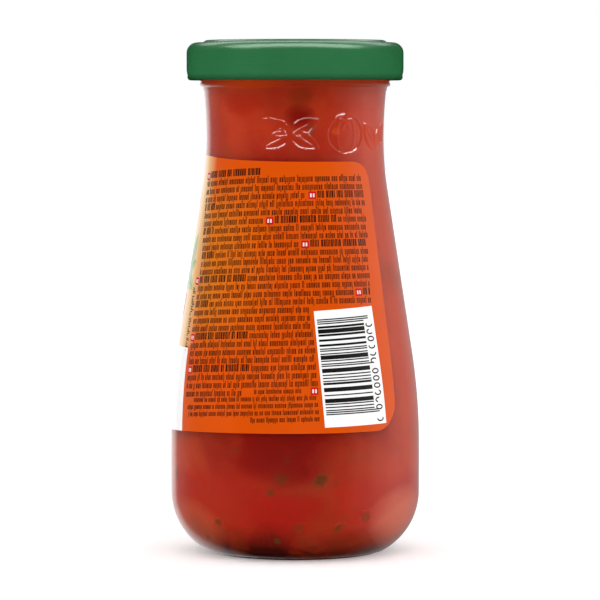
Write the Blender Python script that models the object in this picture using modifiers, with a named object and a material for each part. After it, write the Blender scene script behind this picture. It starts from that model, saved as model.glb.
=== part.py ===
"""Jar of tomato sauce: glass jar, sauce, twist-off lid and wrap-round label.

Metres, +Z up. The origin is at the centre of the base, on the surface that the jar stands on. An angle
round the jar is measured from -Y towards +X, so 0 faces -Y, the side with the ingredients panel.
"""
import math

import bmesh
import bpy
from mathutils import Matrix, Vector

OBJECT_NAME = "tomato_sauce_jar"

# Outside of the glass, from the base up
FOOT_RADIUS = 0.0252
FOOT_INNER_RADIUS = 0.0215
FOOT_ROUNDING = 0.0012
PUSH_UP = 0.0022
PUSH_UP_HALF_WAY = 0.00165
HEEL_RADIUS = 0.0205
HEEL_END = -60.0
BARREL_RADIUS = 0.0379
BARREL_LOW = 0.0185
BARREL_HIGH = 0.0330
CONE_LOW = 0.0610
CONE_HIGH = 0.1110
WAIST = 0.1260
WAIST_RADIUS = 0.02695
NECK_CURVE_RADIUS = 0.140
NECK_TOP = 0.1403
BEAD_RADIUS = 0.0290
BEAD_LOW = 0.1416
BEAD_HEIGHT = 0.1424
BEAD_NOTCH_RADIUS = 0.0286
BEAD_NOTCH_HEIGHT = 0.1432
FINISH_LOW = 0.1439
FINISH_RADIUS = 0.0291
THREAD_RADIUS = 0.0302
THREAD_HEIGHT = 0.1485
THREAD_HALF_WIDTH = 0.0012
RIM_TOP = 0.1542
RIM_ROUNDING = 0.0012

# Inside of the glass
WALL = 0.0026
HEEL_WALL = 0.0024
HEEL_INNER_END = -58.0
FLOOR_RADIUS = 0.0240
FLOOR_HEIGHT = 0.0028
FLOOR_DOME = 0.0018
BORE_RADIUS = 0.0258

# Sauce
GAP = 0.0003
SAUCE_LEVEL = 0.1470

# Lid
LID_RADIUS = 0.0330
LID_SHEET = 0.0005
LID_SHOULDER_RADIUS = 0.0032
LID_SHOULDER_TOP = 0.1551
LID_PANEL_RADIUS = 0.0272
LID_TOP = 0.1558
LID_PANEL_STEP = 0.0008
LID_RECESS = 0.0005
LID_RECESS_RADIUS = 0.0246
LID_BUTTON_RADIUS = 0.0095
LID_BUTTON_RISE = 0.0003
LID_SKIRT_BOTTOM = 0.1470
CURL_RADIUS = 0.0010
CURL_CENTRE_RADIUS = 0.03175
CURL_HEIGHT = 0.1446

# Label
LABEL_START = math.radians(-248.0)
LABEL_END = math.radians(53.0)
LABEL_BOTTOM = 0.0392
LABEL_TOP = 0.1193
LABEL_RISE = 0.0020
LABEL_DIP = 0.0016
LABEL_RISE_CENTRE = math.radians(-97.5)
LABEL_RISE_SPREAD = math.radians(50.0)
LABEL_TOP_CORNER = 0.0065
LABEL_BOTTOM_CORNER = 0.0088
LABEL_THICKNESS = 0.00025
LABEL_CORNER_COLUMNS = 5
LABEL_COLUMNS = 54
LABEL_ROWS = 9

# Relief moulded into the neck: each sprig is a spray of leaves, a tomato and a pair of leaves
RELIEF_HEIGHT = 0.1274
SPRIG_STARTS = (math.radians(-3.0), math.radians(177.0))
SPRAY_TURNS = (28.0, 152.0, 206.0, 334.0)
PAIR_TURNS = (52.0, 128.0)
PAIR_DROP = 0.0042
TOMATO_SIZE = (0.0064, 0.0058, 0.0015)
TOMATO_SUNK = 0.0007
LEAF_SIZE = (0.0046, 0.0021, 0.0013)
LEAF_SUNK = 0.0006
LEAF_ROOM = 0.0003
TOMATO_PLACE = math.radians(37.0)
PAIR_PLACE = math.radians(65.5)
TOMATO_SIDES = 12
LEAF_SIDES = 8
MOTIF_RINGS = 6

# Facets round each turned piece, and steps along the curves of its profile
GLASS_SEGMENTS = 50
SAUCE_SEGMENTS = 40
LID_SEGMENTS = 50
HEEL_STEPS = 7
GLASS_HEEL_STEPS = 5
SAUCE_HEEL_STEPS = 4
RIM_STEPS = 3
FOOT_STEPS = 2
SHOULDER_STEPS = 5
INNER_SHOULDER_STEPS = 3
CURL_STEPS = 7
CURL_START = 20.0
CURL_END = -200.0
MERGE_DISTANCE = 0.00001

# Colours
GLASS_COLOUR = (0.93, 0.96, 0.94)
SAUCE_COLOUR = (0.32, 0.03, 0.012)
LID_COLOUR = (0.02, 0.14, 0.045)
LABEL_COLOUR = (0.70, 0.10, 0.006)


def remove_everything():
    """Empty the scene without closing the file."""
    for item in list(bpy.data.objects):
        bpy.data.objects.remove(item, do_unlink=True)


def make_collection(name):
    """A new collection under the scene's own."""
    collection = bpy.data.collections.new(name)
    bpy.context.scene.collection.children.link(collection)
    return collection


def make_material(name, colour, roughness, metallic=0.0, transmission=0.0, alpha=1.0):
    """A Principled material."""
    material = bpy.data.materials.new(name)
    material.use_nodes = True
    shader = material.node_tree.nodes["Principled BSDF"]
    shader.inputs["Base Color"].default_value = (*colour, 1.0)
    shader.inputs["Roughness"].default_value = roughness
    shader.inputs["Metallic"].default_value = metallic
    shader.inputs["Transmission Weight"].default_value = transmission
    shader.inputs["Alpha"].default_value = alpha
    return material


def arc(centre, radius, start, stop, steps):
    """Points on an arc in the (radius, height) plane, both ends included; angles in degrees."""
    points = []
    for step in range(steps + 1):
        angle = math.radians(start + (stop - start) * step / steps)
        points.append((centre[0] + radius * math.cos(angle), centre[1] + radius * math.sin(angle)))
    return points


def spaced(start, stop, steps):
    """Heights from start to stop, both included."""
    return [start + (stop - start) * step / steps for step in range(steps + 1)]


def cone_slope():
    """Radius lost per metre of height on the straight cone, so that it runs smoothly into both curves."""
    run = (CONE_LOW - BARREL_HIGH) / 2 + (CONE_HIGH - CONE_LOW) + (WAIST - CONE_HIGH) / 2
    return (BARREL_RADIUS - WAIST_RADIUS) / run


def body_radius(height):
    """Outer radius of the glass between the heel and the bead."""
    slope = cone_slope()
    if height < BARREL_LOW:
        drop = BARREL_LOW - height
        return BARREL_RADIUS - HEEL_RADIUS + math.sqrt(HEEL_RADIUS ** 2 - drop ** 2)
    if height < BARREL_HIGH:
        return BARREL_RADIUS
    if height < CONE_LOW:
        return BARREL_RADIUS - slope * (height - BARREL_HIGH) ** 2 / (2 * (CONE_LOW - BARREL_HIGH))
    if height < CONE_HIGH:
        return BARREL_RADIUS - slope * ((CONE_LOW - BARREL_HIGH) / 2 + height - CONE_LOW)
    if height < WAIST:
        return WAIST_RADIUS + slope * (WAIST - height) ** 2 / (2 * (WAIST - CONE_HIGH))
    return WAIST_RADIUS + (height - WAIST) ** 2 / (2 * NECK_CURVE_RADIUS)


def body_heights():
    """Heights of the profile points between the neck's top and the barrel's low end, top first."""
    upper = spaced(NECK_TOP, WAIST, 3)
    shoulder = spaced(WAIST, CONE_HIGH, 3)
    cone = spaced(CONE_HIGH, CONE_LOW, 2)
    lower = spaced(CONE_LOW, BARREL_HIGH, 4)
    return upper + shoulder[1:] + cone[1:] + lower[1:] + [BARREL_LOW]


def heel_arc(wall, stop, steps):
    """The heel, from just under the barrel down to the foot, at a depth of wall inside the surface."""
    centre = (BARREL_RADIUS - HEEL_RADIUS, BARREL_LOW)
    return arc(centre, HEEL_RADIUS - wall, 0.0, stop, steps)[1:]


def outer_line():
    """Outside of the glass, from the rim down to the centre of the base."""
    rim = (FINISH_RADIUS - RIM_ROUNDING, RIM_TOP - RIM_ROUNDING)
    points = arc(rim, RIM_ROUNDING, 90.0, 0.0, RIM_STEPS)
    points += [
        (FINISH_RADIUS, THREAD_HEIGHT + 2 * THREAD_HALF_WIDTH),
        (THREAD_RADIUS, THREAD_HEIGHT + THREAD_HALF_WIDTH / 2),
        (THREAD_RADIUS, THREAD_HEIGHT - THREAD_HALF_WIDTH / 2),
        (FINISH_RADIUS, THREAD_HEIGHT - 2 * THREAD_HALF_WIDTH),
        (FINISH_RADIUS, FINISH_LOW),
        (BEAD_NOTCH_RADIUS, BEAD_NOTCH_HEIGHT),
        (BEAD_RADIUS, BEAD_HEIGHT),
        (BEAD_NOTCH_RADIUS, BEAD_LOW),
    ]
    points += [(body_radius(height), height) for height in body_heights()]
    points += heel_arc(0.0, HEEL_END, HEEL_STEPS)
    points += arc((FOOT_RADIUS, FOOT_ROUNDING), FOOT_ROUNDING, -30.0, -90.0, FOOT_STEPS)
    points += [(FOOT_INNER_RADIUS, 0.0), (FOOT_INNER_RADIUS / 2, PUSH_UP_HALF_WAY), (0.0, PUSH_UP)]
    return points


def floor_height(radius):
    """Height of the glass floor inside, which rises a little to the centre."""
    return FLOOR_HEIGHT + FLOOR_DOME * (1 - (radius / FLOOR_RADIUS) ** 2)


def inner_line(clearance, heel_steps):
    """Inside of the glass from the neck down to the floor's centre, moved inwards by clearance."""
    points = [(BORE_RADIUS - clearance, BEAD_HEIGHT)]
    points += [(body_radius(height) - WALL - clearance, height) for height in body_heights()[:-1]]
    points.append((BARREL_RADIUS - HEEL_WALL - clearance, BARREL_LOW))
    points += heel_arc(HEEL_WALL + clearance, HEEL_INNER_END, heel_steps)
    for radius in (FLOOR_RADIUS, FLOOR_RADIUS / 2, 0.0):
        points.append((radius, floor_height(radius) + clearance))
    return points


def glass_profile():
    """Inner floor, up the inside, over the rim and down the outside."""
    inside = inner_line(0.0, GLASS_HEEL_STEPS)[::-1]
    centre = (BORE_RADIUS + RIM_ROUNDING, RIM_TOP - RIM_ROUNDING)
    rim = arc(centre, RIM_ROUNDING, 180.0, 90.0, RIM_STEPS)
    return inside + rim + outer_line()


def sauce_profile():
    """Flat top of the sauce, then down inside the glass."""
    return [(0.0, SAUCE_LEVEL), (BORE_RADIUS - GAP, SAUCE_LEVEL)] + inner_line(GAP, SAUCE_HEEL_STEPS)


def lid_top_line(depth):
    """Top of the lid from its centre to the shoulder, at a depth inside the sheet."""
    top = LID_TOP - depth
    recess = top - LID_RECESS
    return [
        (0.0, recess + LID_BUTTON_RISE),
        (LID_BUTTON_RADIUS, recess + LID_BUTTON_RISE),
        (LID_BUTTON_RADIUS + LID_RECESS, recess),
        (LID_RECESS_RADIUS, recess),
        (LID_RECESS_RADIUS + LID_RECESS, top),
        (LID_PANEL_RADIUS - depth, top),
        (LID_PANEL_RADIUS + LID_PANEL_STEP - depth, LID_SHOULDER_TOP - depth),
    ]


def lid_profile():
    """Outside of the lid, round the curl at its lower edge, and back up inside."""
    shoulder = (LID_RADIUS - LID_SHOULDER_RADIUS, LID_SHOULDER_TOP - LID_SHOULDER_RADIUS)
    outside = lid_top_line(0.0)
    outside += arc(shoulder, LID_SHOULDER_RADIUS, 90.0, 0.0, SHOULDER_STEPS)
    curl = arc((CURL_CENTRE_RADIUS, CURL_HEIGHT), CURL_RADIUS, CURL_START, CURL_END, CURL_STEPS)
    inside = arc(shoulder, LID_SHOULDER_RADIUS - LID_SHEET, 0.0, 90.0, INNER_SHOULDER_STEPS)
    skirt = [(LID_RADIUS, LID_SKIRT_BOTTOM)]
    inner_skirt = [(LID_RADIUS - LID_SHEET, CURL_HEIGHT + 2 * CURL_RADIUS)]
    return outside + skirt + curl + inner_skirt + inside + lid_top_line(LID_SHEET)[::-1]


def turned(name, profile, segments, material, collection):
    """A solid of revolution about +Z from a profile of (radius, height) points, outer side top to bottom."""
    mesh = bpy.data.meshes.new(name)
    edges = [(index, index + 1) for index in range(len(profile) - 1)]
    mesh.from_pydata([(radius, 0.0, height) for radius, height in profile], edges, [])
    body = bpy.data.objects.new(name, mesh)
    collection.objects.link(body)
    mesh.materials.append(material)
    screw = body.modifiers.new("Turn", "SCREW")
    screw.steps = segments
    screw.render_steps = segments
    screw.use_merge_vertices = True
    screw.merge_threshold = MERGE_DISTANCE
    screw.use_smooth_shade = True
    return body


def on_neck(angle, height, sunk, turn):
    """Matrix that stands a motif on the neck: local Z outwards, local X round the jar, turned in place."""
    outward = Vector((math.sin(angle), -math.cos(angle), 0.0))
    around = Vector((math.cos(angle), math.sin(angle), 0.0))
    frame = Matrix((around, Vector((0.0, 0.0, 1.0)), outward)).transposed().to_4x4()
    place = outward * (body_radius(height) - sunk) + Vector((0.0, 0.0, height))
    return Matrix.Translation(place) @ frame @ Matrix.Rotation(math.radians(turn), 4, "Z")


def motif(name, size, sides, matrix, collection):
    """A flattened ball of the motif's half sizes, for the most part sunk in the glass."""
    mesh = bpy.data.meshes.new(name)
    shape = bmesh.new()
    bmesh.ops.create_uvsphere(shape, u_segments=sides, v_segments=MOTIF_RINGS, radius=1.0)
    bmesh.ops.scale(shape, vec=size, verts=shape.verts)
    bmesh.ops.transform(shape, matrix=matrix, verts=shape.verts)
    shape.to_mesh(mesh)
    shape.free()
    body = bpy.data.objects.new(name, mesh)
    body.hide_render = True
    body.display_type = "WIRE"
    collection.objects.link(body)


def leaf(name, angle, height, turn, collection):
    """A leaf whose stalk is at an angle and height, pointing away by a turn in degrees."""
    reach = LEAF_SIZE[0] + LEAF_ROOM
    angle += reach * math.cos(math.radians(turn)) / body_radius(height)
    height += reach * math.sin(math.radians(turn))
    motif(name, LEAF_SIZE, LEAF_SIDES, on_neck(angle, height, LEAF_SUNK, turn), collection)


def tomato(name, angle, collection):
    """A tomato at an angle round the jar."""
    matrix = on_neck(angle, RELIEF_HEIGHT, TOMATO_SUNK, 0.0)
    motif(name, TOMATO_SIZE, TOMATO_SIDES, matrix, collection)


def add_relief(glass, collection):
    """Fuse the sprigs of leaves and tomatoes onto the neck."""
    for number, start in enumerate(SPRIG_STARTS):
        for turn in SPRAY_TURNS:
            leaf(f"spray_{number}", start, RELIEF_HEIGHT, turn, collection)
        for turn in PAIR_TURNS:
            leaf(f"pair_{number}", start + PAIR_PLACE, RELIEF_HEIGHT - PAIR_DROP, turn, collection)
        tomato(f"tomato_{number}", start + TOMATO_PLACE, collection)
    union = glass.modifiers.new("Relief", "BOOLEAN")
    union.operation = "UNION"
    union.operand_type = "COLLECTION"
    union.collection = collection


def corner_cut(distance, radius):
    """How far a rounded corner eats into an edge at a distance from the label's end."""
    if distance >= radius:
        return 0.0
    return radius - math.sqrt(radius ** 2 - (radius - distance) ** 2)


def label_angles():
    """Angles of the label's columns, closer together in its rounded corners."""
    corner = LABEL_BOTTOM_CORNER / body_radius(LABEL_BOTTOM)
    turns = [math.pi / 2 * step / LABEL_CORNER_COLUMNS for step in range(LABEL_CORNER_COLUMNS)]
    ramp = [corner * (1 - math.cos(turn)) for turn in turns]
    middle = spaced(LABEL_START + corner, LABEL_END - corner, LABEL_COLUMNS - 2 * LABEL_CORNER_COLUMNS)
    return [LABEL_START + angle for angle in ramp] + middle + [LABEL_END - angle for angle in ramp[::-1]]


def label_span(angle):
    """Lowest and highest point of the label at an angle round the jar."""
    away = min(angle - LABEL_START, LABEL_END - angle)
    swell = math.exp(-((angle - LABEL_RISE_CENTRE) / LABEL_RISE_SPREAD) ** 2)
    top = LABEL_TOP + LABEL_RISE * swell
    low = LABEL_BOTTOM - LABEL_DIP * swell
    low += corner_cut(away * body_radius(LABEL_BOTTOM), LABEL_BOTTOM_CORNER)
    return low, top - corner_cut(away * body_radius(LABEL_TOP), LABEL_TOP_CORNER)


def make_label(material, collection):
    """A sheet wrapped round the body, with rounded corners at both ends."""
    mesh = bpy.data.meshes.new("label")
    sheet = bmesh.new()
    bmesh.ops.create_grid(sheet, x_segments=LABEL_COLUMNS, y_segments=LABEL_ROWS, size=1.0)
    angles = label_angles()
    for vertex in sheet.verts:
        angle = angles[round((vertex.co.x + 1) / 2 * LABEL_COLUMNS)]
        low, high = label_span(angle)
        height = low + (high - low) * (vertex.co.y + 1) / 2
        radius = body_radius(height) + GAP
        vertex.co = (radius * math.sin(angle), -radius * math.cos(angle), height)
    sheet.to_mesh(mesh)
    sheet.free()
    mesh.shade_smooth()
    mesh.materials.append(material)
    body = bpy.data.objects.new("label", mesh)
    collection.objects.link(body)
    thicken = body.modifiers.new("Thickness", "SOLIDIFY")
    thicken.thickness = LABEL_THICKNESS
    thicken.offset = 1.0


def main():
    """Build the jar."""
    remove_everything()
    parts = make_collection(OBJECT_NAME)
    guides = make_collection("relief_motifs")
    glass = make_material("clear_glass", GLASS_COLOUR, 0.03, transmission=1.0, alpha=0.35)
    sauce = make_material("tomato_sauce", SAUCE_COLOUR, 0.45)
    lacquer = make_material("green_lacquer", LID_COLOUR, 0.35, metallic=0.2)
    paper = make_material("orange_paper", LABEL_COLOUR, 0.4)
    jar = turned("jar_glass", glass_profile(), GLASS_SEGMENTS, glass, parts)
    add_relief(jar, guides)
    turned("sauce", sauce_profile(), SAUCE_SEGMENTS, sauce, parts)
    turned("lid", lid_profile(), LID_SEGMENTS, lacquer, parts)
    make_label(paper, parts)


main()
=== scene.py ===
"""Looks of the jar of tomato sauce: glass, sauce with herbs, lacquered lid and printed label.

Metres, +Z up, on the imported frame. An angle round the jar is measured from -Y towards +X, so 0 faces the
camera, and a place on the wall is given by such an angle and a height.
"""
import random
from math import ceil, cos, degrees as in_degrees, exp, pi, radians, sin, sqrt

import bpy
import numpy as np
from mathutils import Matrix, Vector


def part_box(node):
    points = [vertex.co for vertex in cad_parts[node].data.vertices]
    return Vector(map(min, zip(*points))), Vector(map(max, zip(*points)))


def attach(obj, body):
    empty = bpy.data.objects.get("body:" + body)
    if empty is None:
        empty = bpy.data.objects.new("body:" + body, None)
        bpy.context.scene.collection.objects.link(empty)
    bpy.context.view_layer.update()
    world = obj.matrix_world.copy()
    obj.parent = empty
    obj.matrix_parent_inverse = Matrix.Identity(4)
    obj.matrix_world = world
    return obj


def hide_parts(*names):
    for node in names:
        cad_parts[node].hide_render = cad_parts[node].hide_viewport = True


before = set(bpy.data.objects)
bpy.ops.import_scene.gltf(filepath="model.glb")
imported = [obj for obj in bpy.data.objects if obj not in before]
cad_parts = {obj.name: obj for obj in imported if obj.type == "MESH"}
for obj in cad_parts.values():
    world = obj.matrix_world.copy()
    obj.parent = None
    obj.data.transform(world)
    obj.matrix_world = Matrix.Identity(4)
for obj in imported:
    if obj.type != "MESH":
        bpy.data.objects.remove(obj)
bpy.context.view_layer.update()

MM = 0.001

# Outside of the glass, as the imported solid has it
FOOT_RADIUS = 0.0252
FOOT_INNER_RADIUS = 0.0215
FOOT_ROUNDING = 0.0012
PUSH_UP = 0.0022
HEEL_RADIUS = 0.0205
BARREL_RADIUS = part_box("jar_glass")[1].x
BARREL_LOW = 0.0185
BARREL_HIGH = 0.0330
CONE_LOW = 0.0610
CONE_HIGH = 0.1110
WAIST = 0.1260
WAIST_RADIUS = 0.02695
NECK_CURVE_RADIUS = 0.140
NECK_TOP = 0.1403
BEAD_RADIUS = 0.0290
BEAD_HEIGHT = 0.1424
BEAD_ROUNDING = 0.0006
FINISH_RADIUS = 0.0291
THREAD_RADIUS = 0.0302
THREAD_HEIGHT = 0.1485
RIM_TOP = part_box("jar_glass")[1].z
RIM_ROUNDING = 0.0012

# Inside of the glass
WALL = 0.0026
HEEL_WALL = 0.0024
FLOOR_RADIUS = 0.0240
FLOOR_HEIGHT = 0.0028
FLOOR_DOME = 0.0018
BORE_RADIUS = 0.0258
INTO_WALL = 0.0004
SAUCE_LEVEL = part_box("sauce")[1].z

# Label: the angles where it starts and ends, its edges and how they rise and dip towards the front
LABEL_START = radians(-248.0)
LABEL_END = radians(53.0)
LABEL_BOTTOM = 0.0392
LABEL_TOP = 0.1193
LABEL_RISE = 0.0020
LABEL_DIP = 0.0016
LABEL_RISE_CENTRE = radians(-97.5)
LABEL_RISE_SPREAD = radians(50.0)
LABEL_TOP_CORNER = 0.0065
LABEL_BOTTOM_CORNER = 0.0088

# Height of the rolled edge of the lid
CURL_HEIGHT = 0.1446

# Camera, worked out from the curve of the photograph's base, label and lid
SENSOR = 36.0
LENS = 216.5
CAMERA_DISTANCE = 1.10
CAMERA_HEIGHT = 0.1376
CAMERA_SIDE = 0.0015
CAMERA_TILT = radians(3.17)

NEAR_AXIS = 1e-7
COLUMN_STEP = 4
SEED = 11

dice = random.Random(SEED)


def cone_slope():
    """Radius lost per metre of height on the straight cone."""
    run = (CONE_LOW - BARREL_HIGH) / 2 + (CONE_HIGH - CONE_LOW) + (WAIST - CONE_HIGH) / 2
    return (BARREL_RADIUS - WAIST_RADIUS) / run


def body_radius(height):
    """Outer radius of the glass between the heel and the bead."""
    slope = cone_slope()
    if height < BARREL_LOW:
        drop = BARREL_LOW - height
        return BARREL_RADIUS - HEEL_RADIUS + sqrt(HEEL_RADIUS ** 2 - drop ** 2)
    if height < BARREL_HIGH:
        return BARREL_RADIUS
    if height < CONE_LOW:
        return BARREL_RADIUS - slope * (height - BARREL_HIGH) ** 2 / (2 * (CONE_LOW - BARREL_HIGH))
    if height < CONE_HIGH:
        return BARREL_RADIUS - slope * ((CONE_LOW - BARREL_HIGH) / 2 + height - CONE_LOW)
    if height < WAIST:
        return WAIST_RADIUS + slope * (WAIST - height) ** 2 / (2 * (WAIST - CONE_HIGH))
    return WAIST_RADIUS + (height - WAIST) ** 2 / (2 * NECK_CURVE_RADIUS)


def wall_point(angle, height, proud):
    """A point at an angle and height, proud of the outside of the glass."""
    radius = body_radius(height) + proud
    return (radius * sin(angle), -radius * cos(angle), height)


def between(first, second, share):
    """A place a share of the way from one to another."""
    return [start * (1 - share) + stop * share for start, stop in zip(first, second)]


def stations(start, stretches):
    """Values from a start through stretches, each an end and the step of its values."""
    values = [start]
    for stop, step in stretches:
        values += spaced(values[-1], stop, step)[1:]
    return values


def arc(centre, radius, start, stop, steps):
    """Points on an arc in the (radius, height) plane, both ends included; angles in degrees."""
    points = []
    for step in range(steps + 1):
        angle = radians(start + (stop - start) * step / steps)
        points.append((centre[0] + radius * cos(angle), centre[1] + radius * sin(angle)))
    return points


def spaced(start, stop, step):
    """Values from start to stop, both included, about a step apart."""
    count = max(1, round(abs(stop - start) / step))
    return [start + (stop - start) * index / count for index in range(count + 1)]


# Pieces

def finish_piece(piece, slot, *replaced):
    """Attach a piece to the root body, and hide the imported parts it replaces."""
    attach(piece, "root")
    if replaced:
        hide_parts(*replaced)
    return piece


def link_object(name, data):
    """An object with its data, in the scene."""
    made = bpy.data.objects.new(name, data)
    bpy.context.scene.collection.objects.link(made)
    return made


def make_object(name, points, faces, material, smooth=True):
    """A mesh object."""
    mesh = bpy.data.meshes.new(name)
    mesh.from_pydata([tuple(point) for point in points], [], faces)
    mesh.update()
    if smooth:
        mesh.shade_smooth()
    mesh.materials.append(material)
    return link_object(name, mesh)


def even_angles(segments):
    """Angles all round, evenly spaced."""
    return np.arange(segments) * (2 * pi / segments)


def run(row, index, count):
    """Points of a row along one of count equal intervals, both ends included."""
    if len(row) == 1:
        return [row[0]]
    step = len(row) // count
    return [row[(index * step + offset) % len(row)] for offset in range(step + 1)]


def turned(name, profile, angles, material, swell=None):
    """A closed turned body from a profile that starts and ends on the axis, outer side top to bottom.

    Where the swell gives a row relief, the row has all the columns, and elsewhere a quarter of them.
    """
    points, rows = [], []
    for radius, height in profile:
        raised = swell(angles, radius, height) if swell else 0.0
        used = angles
        if radius < NEAR_AXIS:
            used, raised = angles[:1], 0.0
        elif raised is None:
            used, raised = angles[::COLUMN_STEP], 0.0
        radii = radius + raised + np.zeros(len(used))
        rows.append(range(len(points), len(points) + len(used)))
        points.extend(zip(radii * np.sin(used), -radii * np.cos(used), np.full(len(used), height)))
    faces = []
    for upper, lower in zip(rows, rows[1:]):
        count = min(len(row) for row in (upper, lower) if len(row) > 1)
        faces += [run(lower, index, count) + run(upper, index, count)[::-1] for index in range(count)]
    return make_object(name, points, faces, material)


# Materials

UNSTRETCHED = (1.0, 1.0, 1.0)


class Look:
    """The nodes of a material or the world in the making, most of them over object coordinates."""

    def __init__(self, owner, shader="Principled BSDF"):
        owner.use_nodes = True
        self.owner = owner
        self.tree = owner.node_tree
        self.shader = self.tree.nodes[shader]

    def feed(self, socket, value):
        """Link another socket to a socket, or set its number or colour."""
        if isinstance(value, bpy.types.NodeSocket):
            self.tree.links.new(value, socket)
        else:
            socket.default_value = value

    def put(self, name, value):
        """Feed an input of the shader."""
        self.feed(self.shader.inputs[name], value)

    def node(self, kind, output, **inputs):
        """An output of a new node whose inputs are fed; an underscore stands for a space."""
        made = self.tree.nodes.new("ShaderNode" + kind)
        for name, value in inputs.items():
            self.feed(made.inputs[name.replace("_", " ")], value)
        return made.outputs[output]

    def axis(self, name, space="Object"):
        """X, Y or Z of the object coordinates, or of others."""
        return self.node("SeparateXYZ", name, Vector=self.node("TexCoord", space))

    def noise(self, scale, detail=2.0, roughness=0.5, distortion=0.0, stretch=UNSTRETCHED):
        """A noise over the stretched object coordinates."""
        place = self.node("Mapping", "Vector", Vector=self.node("TexCoord", "Object"), Scale=stretch)
        settings = {"Scale": scale, "Detail": detail, "Roughness": roughness, "Distortion": distortion}
        return self.node("TexNoise", "Fac", Vector=place, **settings)

    def span(self, value, low, high, to_low=0.0, to_high=1.0):
        """A value mapped from one range to another, and clamped."""
        limits = {"From_Min": low, "From_Max": high, "To_Min": to_low, "To_Max": to_high}
        return self.node("MapRange", "Result", Value=value, **limits)

    def math(self, operation, *values):
        """A sum of sockets or numbers."""
        made = self.tree.nodes.new("ShaderNodeMath")
        made.operation = operation
        for socket, value in zip(made.inputs, values):
            self.feed(socket, value)
        return made.outputs["Value"]

    def angle(self):
        """Angle round the jar, from -Y towards +X."""
        return self.math("ARCTAN2", self.axis("X"), self.math("MULTIPLY", self.axis("Y"), -1.0))

    def mix(self, factor, first, second, blend="MIX"):
        """Two colours mixed; each is a socket or a colour."""
        made = self.tree.nodes.new("ShaderNodeMix")
        made.data_type = "RGBA"
        made.blend_type = blend
        for name, value in (("Factor", factor), ("A", first), ("B", second)):
            socket = [entry for entry in made.inputs if entry.name == name and entry.enabled][0]
            self.feed(socket, (*value, 1.0) if isinstance(value, tuple) else value)
        return [entry for entry in made.outputs if entry.enabled][0]

    def tint(self, base, colour, value, low, high, to_low=0.0, to_high=1.0):
        """A base with a share of another colour, by where a value lies in a range."""
        return self.mix(self.span(value, low, high, to_low, to_high), base, colour)

    def bump(self, value, distance, strength):
        """Relief in the shader's normal."""
        self.put("Normal", self.node("Bump", "Normal", Height=value, Distance=distance, Strength=strength))


def new_look(name):
    """A new material's look."""
    return Look(bpy.data.materials.new(name))


def glass_material():
    """Clear moulded glass with a faint waviness, a little handling haze and a stippled foot."""
    look = new_look("jar_glass")
    look.put("Base Color", (0.99, 1.0, 0.99, 1.0))
    look.put("Transmission Weight", 1.0)
    look.put("IOR", 1.5)
    haze = look.noise(60.0, 3.0)
    stipple = look.span(look.noise(900.0, 1.0), 0.35, 0.6, 0.0, 0.25)
    foot = look.math("MULTIPLY", look.span(look.axis("Z"), 0.0009, 0.0017, 1.0, 0.0), stipple)
    look.put("Roughness", look.math("ADD", look.span(haze, 0.3, 0.75, 0.0, 0.03), foot))
    look.bump(look.noise(55.0, 1.0, stretch=(1.0, 1.0, 0.4)), 0.0003, 0.3)
    return look.owner


SAUCE_DEEP = (0.335, 0.0095, 0.0030)
SAUCE_PAINTED_SIDE_LIGHT = (0.57, 0.070, 0.022)
SAUCE_BROWN = (0.36, 0.060, 0.015)
SAUCE_BRIGHT = (0.62, 0.036, 0.007)
SAUCE_GRAIN = (0.55, 0.05, 0.02)
# Painted light and shade by height: colour, the two heights between which it comes or goes, and its share at
# each
SAUCE_PAINTED_LIGHT_ZONES = (
    # Paler low down: painted light from the floor
    ((0.49, 0.026, 0.010), 0.0235, 0.0285, 0.75, 0.0),
    # Brighter in the neck: painted light against the lid's shadow
    ((0.90, 0.090, 0.022), 0.1150, 0.1300, 0.0, 0.45),
    # Dark at the foot: painted shade where the jar stands
    ((0.062, 0.0050, 0.0022), 0.0045, 0.0125, 1.0, 0.0),
)
# Patches on the shown side, some the sauce's own colour, some painted light and some painted shade: angle in
# degrees, height, half width and half height in mm, strength, colour
SAUCE_PATCHES_AND_PAINTED_LIGHT = (
    (-37.0, 137.2, 7.5, 4.6, 0.7, (0.62, 0.026, 0.004)),
    (4.0, 132.6, 4.8, 4.2, 0.85, (0.26, 0.002, 0.001)),
    (4.5, 138.6, 4.0, 3.6, 0.45, (0.25, 0.045, 0.004)),
    # A paler band behind the bead: a painted highlight of the bead
    (8.0, 142.8, 34.0, 1.4, 0.4, (0.72, 0.080, 0.018)),
    (-36.0, 142.6, 12.0, 1.6, 0.7, (0.98, 0.110, 0.006)),
    # A small orange spot in the moulded tomato: a painted glint
    (28.5, 128.3, 1.5, 1.1, 0.3, (0.90, 0.130, 0.010)),
    # Darker under the middle of the label: painted shade
    (1.0, 31.0, 15.0, 8.5, 0.55, (0.22, 0.0045, 0.0025)),
    # Paler low in the middle: painted light from the floor
    (-4.0, 15.5, 16.0, 6.0, 0.45, (0.47, 0.0120, 0.0060)),
    (-70.0, 128.0, 9.0, 9.0, 0.5, (0.36, 0.012, 0.005)),
    # This and the next two: paler pink patches low at the sides, painted side light and reflection
    (-61.0, 10.0, 14.0, 7.5, 0.5, (0.62, 0.13, 0.05)),
    (62.0, 13.0, 15.0, 9.0, 0.6, (0.80, 0.27, 0.16)),
    (-84.0, 30.0, 7.0, 16.0, 0.4, (0.62, 0.14, 0.05)),
)
WET_SPECULAR = 0.05
SOAK_WEIGHT = 0.2
SOAK_RADIUS = (0.0030, 0.0006, 0.0003)


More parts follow.
